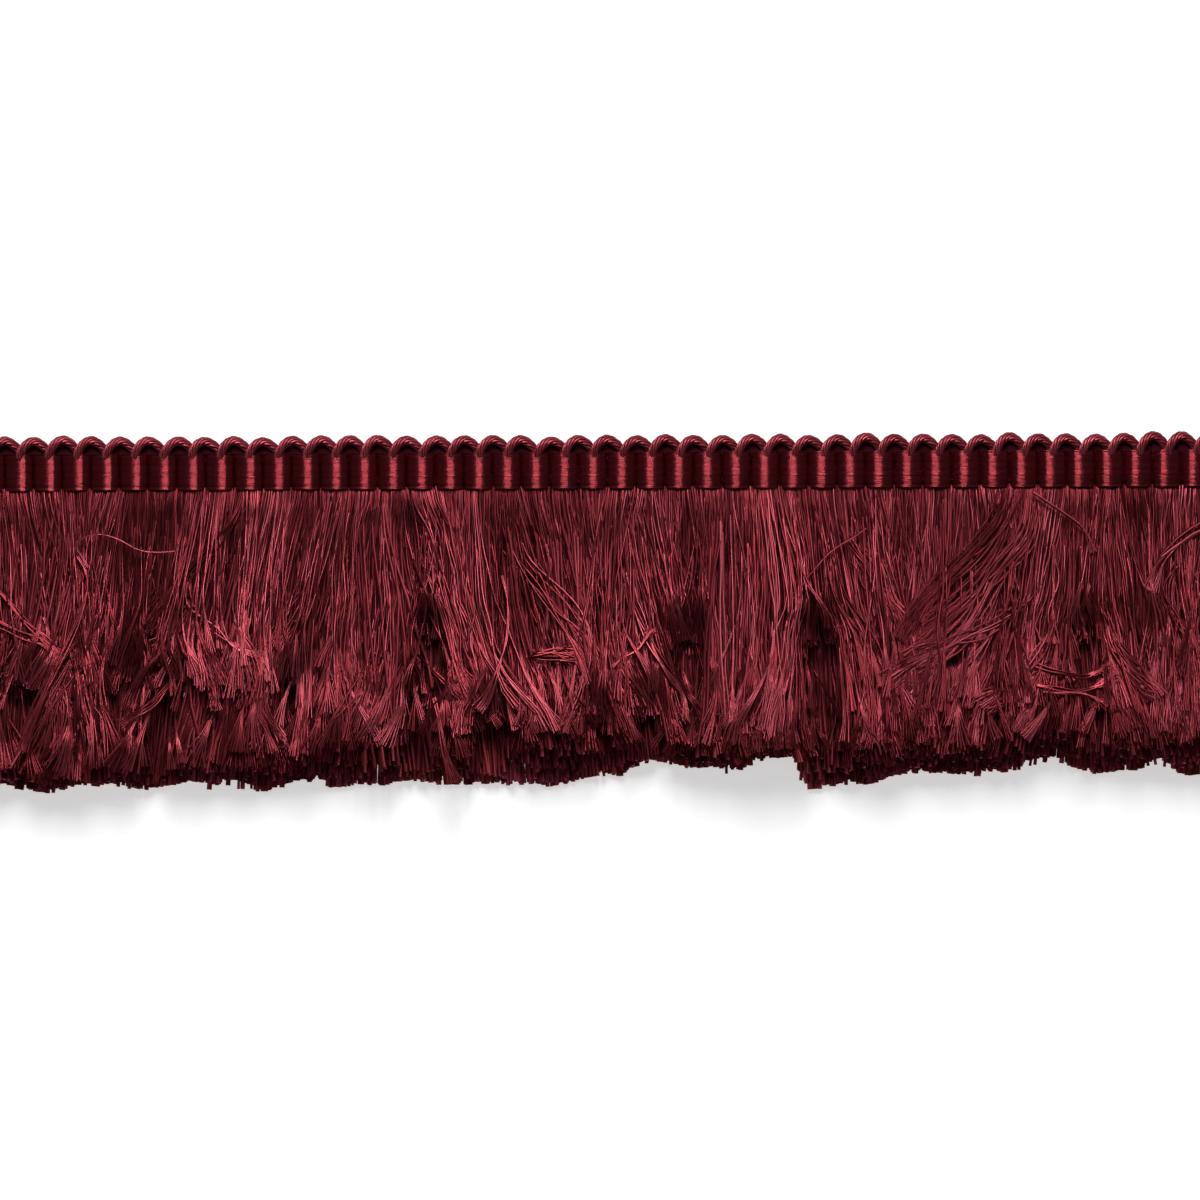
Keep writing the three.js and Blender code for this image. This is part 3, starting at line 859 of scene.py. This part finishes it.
def band_material(colours):
    # The band's ground is painted darker than any yarn: painted shade where it shows, under the loops
    # and between the threads
    dyes = colours.band_ground_and_shade, colours.band_ground_and_shade, colours.yarn_deep
    return satin(
        "heading_cloth", dyes, metallic=0.2, roughness=0.6,
        streak_scale=(400, 6000, 400), streak_depth=0.00004,
    )


def loop_material(colours):
    return satin(
        "loop_satin", yarn_dyes(colours), metallic=0.8, roughness=0.4,
        streak_scale=(3000, 3000, 3000), streak_depth=0.00003,
    )


# Sizes and colours that a user would change


def size(name, description, default):
    """A length in metres."""
    return bpy.props.FloatProperty(
        name=name, description=description, default=default, unit="LENGTH", precision=5, min=0
    )


def colour(name, description, default):
    return bpy.props.FloatVectorProperty(
        name=name, description=description, default=default, subtype="COLOR", size=3, min=0, max=1
    )


def how_many(name, description, default):
    return bpy.props.IntProperty(name=name, description=description, default=default, min=2)


class HeadingSizes(bpy.types.PropertyGroup):
    band_width: size("Band width", "Woven band, from the fringe to the looped edge", 0.0066)
    band_height: size("Groove height", "Thickness of the band in its grooves", 0.0015)
    rib_rise: size("Rib rise", "Height of a rib over the grooves", 0.0013)
    selvedge: size("Selvedge", "Flat part of the band under the fringe's roots", 0.0045)
    # The band behind a loop is painted dark, as painted shade for the hollow under the arch
    arch_fill: size("Arch fill", "How far the band reaches up behind a loop", 0.0021)
    thread_radius: size("Thread radius", "Radius of one satin thread of the heading", 0.00011)
    strand_offset: size("Strand offset", "Distance of a strand from the loop yarn's middle", 0.00054)
    strand_radius: size("Strand radius", "Radius of one strand of the loop yarn", 0.00032)
    twist_length: size("Twist length", "Length of one turn of the loop yarn", 0.0075)
    warp_threads: how_many("Warp threads", "Satin threads across the band", 42)


class BrushSizes(bpy.types.PropertyGroup):
    yarn_radius: size("Yarn radius", "Radius of one cut yarn", 0.00019)
    end_fan: size("End fan", "How far the filaments open at the cut end of a yarn", 0.0008)
    lock_pitch: size("Lock pitch", "Distance between broad locks of yarns", 0.009)
    tuft_pitch: size("Tuft pitch", "Distance between tufts of yarns", 0.0032)
    wave: size("Wave", "How far a single yarn strays from its tuft", 0.00075)
    face_yarns: how_many("Face yarns", "Yarns in the part of the brush that shows", 2400)
    inner_yarns: how_many("Inner yarns", "Yarns behind the face", 3000)
    back_yarns: how_many("Back yarns", "Yarns nearest the surface", 1200)


class TrimColours(bpy.types.PropertyGroup):
    yarn_deep: colour("Deep", "Darkest dye of the yarns", (0.1, 0.012, 0.016))
    yarn_middle: colour("Middle", "Common dye of the yarns", (0.26, 0.033, 0.042))
    yarn_bright: colour("Bright", "Lightest dye of the yarns", (0.46, 0.083, 0.108))
    # Painted shade: the band's ground, darker than any yarn, stands in for the shade under the loops
    # and between the threads
    band_ground_and_shade: colour("Band", "Ground of the heading", (0.035, 0.005, 0.008))
    floor: colour("Floor", "The pale floor", (0.9, 0.9, 0.9))


# Pieces


class TRIM_OT_heading_band(bpy.types.Operator):
    """Makes the ribbed band of the heading, a flat woven sheet"""

    bl_idname = "trim.heading_band"
    bl_label = "Heading band"

    def execute(self, context):
        sizes, colours = context.scene.trim_heading, context.scene.trim_colours
        obj = bpy.data.objects.new("heading_band", band_mesh(sizes))
        context.scene.collection.objects.link(obj)
        obj.data.materials.append(band_material(colours))
        dress(obj, "heading")
        return {"FINISHED"}


class TRIM_OT_heading_threads(bpy.types.Operator):
    """Lays the satin warp threads over the ribs of the heading"""

    bl_idname = "trim.heading_threads"
    bl_label = "Heading threads"

    def execute(self, context):
        sizes, colours = context.scene.trim_heading, context.scene.trim_colours
        rng = np.random.default_rng(11)
        inputs = {"Yarn Radius": sizes.thread_radius, "Unevenness": 0.00005, "Wave Scale": 300.0}
        lines = warp_threads(rng, sizes)
        obj = lay_yarns("heading_threads", lines, inputs, thread_material(colours))
        dress(obj, "heading")
        return {"FINISHED"}


class TRIM_OT_selvedge_loops(bpy.types.Operator):
    """Makes the looped edge, one loop of twisted yarn over each groove"""

    bl_idname = "trim.selvedge_loops"
    bl_label = "Looped edge"

    def execute(self, context):
        sizes, colours = context.scene.trim_heading, context.scene.trim_colours
        rng = np.random.default_rng(12)
        inputs = {"Yarn Radius": sizes.strand_radius, "Unevenness": 0.0001, "Wave Scale": 900.0}
        lines = loop_yarns(rng, sizes)
        obj = lay_yarns("looped_edge", lines, inputs, loop_material(colours))
        dress(obj, "selvedge_loops")
        return {"FINISHED"}


class TRIM_OT_brush_yarns(bpy.types.Operator):
    """Makes the skirt of cut yarns, in pieces from the left end to the right"""

    bl_idname = "trim.brush_yarns"
    bl_label = "Brush yarns"

    def execute(self, context):
        sizes, colours = context.scene.trim_brush, context.scene.trim_colours
        face, inner = yarn_material(colours), inner_material(colours)
        inputs = {"Yarn Radius": sizes.yarn_radius, "Unevenness": 0.0007, "Wave Scale": 150.0}
        layers = (
            dict(name="face_yarns", count=sizes.face_yarns, stout=1.0, taper=0.4,
                 shallow=0.0, deep=0.34, points=18, pieces=2, seed=21),
            dict(name="inner_yarns", count=sizes.inner_yarns, stout=1.7, taper=-0.15,
                 shallow=0.22, deep=0.9, points=10, pieces=1, seed=22),
            dict(name="back_yarns", count=sizes.back_yarns, stout=2.2, taper=-0.2,
                 shallow=0.9, deep=1.0, points=8, pieces=1, seed=24),
        )
        for layer in layers:
            rng = np.random.default_rng(layer["seed"])
            material = face if layer["name"] == "face_yarns" else inner
            paths, girth, tint = brush_yarns(
                rng, sizes, layer["count"], layer["shallow"], layer["deep"],
                layer["points"], layer["taper"], layer["stout"],
            )
            order = np.argsort(paths[:, 0, 0])
            for number, part in enumerate(np.array_split(order, layer["pieces"]), 1):
                lines = (paths[part], girth[part], tint[part])
                name = f"{layer['name']}_{number}"
                dress(lay_yarns(name, lines, inputs, material), "fringe")
                if layer["name"] == "face_yarns":
                    ends = open_ends(rng, sizes, lines, filaments=4, points=5)
                    name = f"yarn_ends_{number}"
                    dress(lay_yarns(name, ends, inputs, material), "fringe")
        return {"FINISHED"}


class TRIM_OT_loose_bunches(bpy.types.Operator):
    """Lays the loose bunches and stray yarns over the brush"""

    bl_idname = "trim.loose_bunches"
    bl_label = "Loose bunches"

    def execute(self, context):
        sizes, colours = context.scene.trim_brush, context.scene.trim_colours
        rng = np.random.default_rng(23)
        lines = loose_bunches(rng, points=18)
        ends = open_ends(rng, sizes, lines, filaments=4, points=5)
        bold = brush_ends(rng, count=100, points=10)
        bold_ends = open_ends(rng, sizes, bold, filaments=7, points=6, first=0.4, fullness=1.4)
        inputs = {"Yarn Radius": sizes.yarn_radius, "Unevenness": 0.0003, "Wave Scale": 130.0}
        pieces = {
            "loose_bunches": lines, "loose_ends": ends, "brush_ends": bold, "brush_fans": bold_ends,
        }
        for name, paths in pieces.items():
            obj = lay_yarns(name, paths, inputs, yarn_material(colours))
            dress(obj, "fringe")
        return {"FINISHED"}


class TRIM_OT_stage(bpy.types.Operator):
    """Sets the pale floor, the soft light and the camera over the trim"""

    bl_idname = "trim.stage"
    bl_label = "Stage"

    def execute(self, context):
        self.add_floor(context.scene.trim_colours)
        self.add_lights(context)
        self.add_camera(context)
        return {"FINISHED"}

    @staticmethod
    def add_floor(colours):
        """Pale paper just under the trim. Its own glow keeps it white away from the shadow."""
        reach, drop = 2.0, 0.0002
        corners = [(-reach, -reach), (reach, -reach), (reach, reach), (-reach, reach)]
        mesh = bpy.data.meshes.new("floor")
        mesh.from_pydata([(x, y, -drop) for x, y in corners], [], [(0, 1, 2, 3)])
        material = bpy.data.materials.new("floor_paper")
        material.use_nodes = True
        tree = material.node_tree
        set_inputs(tree, tree.nodes["Principled BSDF"], {
            "Base Color": (*colours.floor, 1), "Roughness": 0.9, "Specular IOR Level": 0.1,
            "Emission Color": (1, 1, 1, 1), "Emission Strength": 0.51,
        })
        mesh.materials.append(material)
        floor = bpy.data.objects.new("floor", mesh)
        bpy.context.scene.collection.objects.link(floor)

    @staticmethod
    def add_lights(context):
        """A soft light beyond the looped edge, 38 degrees off upright, and a faint fill."""
        light = bpy.data.lights.new("key", "AREA")
        light.shape = "RECTANGLE"
        light.size, light.size_y = 0.3, 0.45
        light.energy = 7.3
        key = bpy.data.objects.new("key", light)
        key.location = (0, 0.62, 0.79)
        key.rotation_euler = (-key.location).to_track_quat("-Z", "Y").to_euler()
        context.scene.collection.objects.link(key)
        world = bpy.data.worlds.new("studio")
        world.use_nodes = True
        fill = {"Color": (1, 1, 1, 1), "Strength": 0.16}
        set_inputs(world.node_tree, world.node_tree.nodes["Background"], fill)
        context.scene.world = world
        context.scene.view_settings.view_transform = "Standard"

    @staticmethod
    def add_camera(context):
        """Looks straight down, framed by where the photo shows a rib and the fringe's start."""
        picture, rib_pixels = 1200, 28.73
        rib_column, joint_row = 18.6, 489.5
        tilt = 0.215  # degrees by which the heading falls to one side in the photo
        distance, face_height = 0.9, 0.003
        view_width = picture / rib_pixels * RIB_PITCH * MM
        first_rib = LEFT_END + 1.5 * RIB_PITCH  # the first one that the photo shows
        centre_x = first_rib + (picture / 2 - rib_column) / rib_pixels * RIB_PITCH
        centre_y = JOINT - (picture / 2 - joint_row) / rib_pixels * RIB_PITCH
        camera = bpy.data.cameras.new("camera")
        camera.sensor_width = 36
        camera.lens = camera.sensor_width * (distance - face_height) / view_width
        camera.clip_start, camera.clip_end = 0.05, 10
        obj = bpy.data.objects.new("camera", camera)
        obj.location = (centre_x * MM, centre_y * MM, distance)
        obj.rotation_euler = (0, 0, -math.radians(tilt))
        context.scene.collection.objects.link(obj)
        context.scene.camera = obj


class TRIM_PT_panel(bpy.types.Panel):
    """Lists the pieces of the trim"""

    bl_label = "Brush fringe"
    bl_idname = "TRIM_PT_panel"
    bl_space_type = "VIEW_3D"
    bl_region_type = "UI"
    bl_category = "Fringe"

    def draw(self, context):
        for operator in PIECES:
            self.layout.operator(operator.bl_idname)


PIECES = (
    TRIM_OT_heading_band,
    TRIM_OT_heading_threads,
    TRIM_OT_selvedge_loops,
    TRIM_OT_brush_yarns,
    TRIM_OT_loose_bunches,
    TRIM_OT_stage,
)
GROUPS = {"trim_heading": HeadingSizes, "trim_brush": BrushSizes, "trim_colours": TrimColours}


def register():
    for group in (*GROUPS.values(), *PIECES, TRIM_PT_panel):
        bpy.utils.register_class(group)
    for name, group in GROUPS.items():
        setattr(bpy.types.Scene, name, bpy.props.PointerProperty(type=group))


def unregister():
    for name in GROUPS:
        delattr(bpy.types.Scene, name)
    for group in reversed((*GROUPS.values(), *PIECES, TRIM_PT_panel)):
        bpy.utils.unregister_class(group)


def main():
    register()
    bpy.ops.trim.heading_band()
    bpy.ops.trim.heading_threads()
    bpy.ops.trim.selvedge_loops()
    bpy.ops.trim.brush_yarns()
    bpy.ops.trim.loose_bunches()
    bpy.ops.trim.stage()


if __name__ == "__main__":
    main()
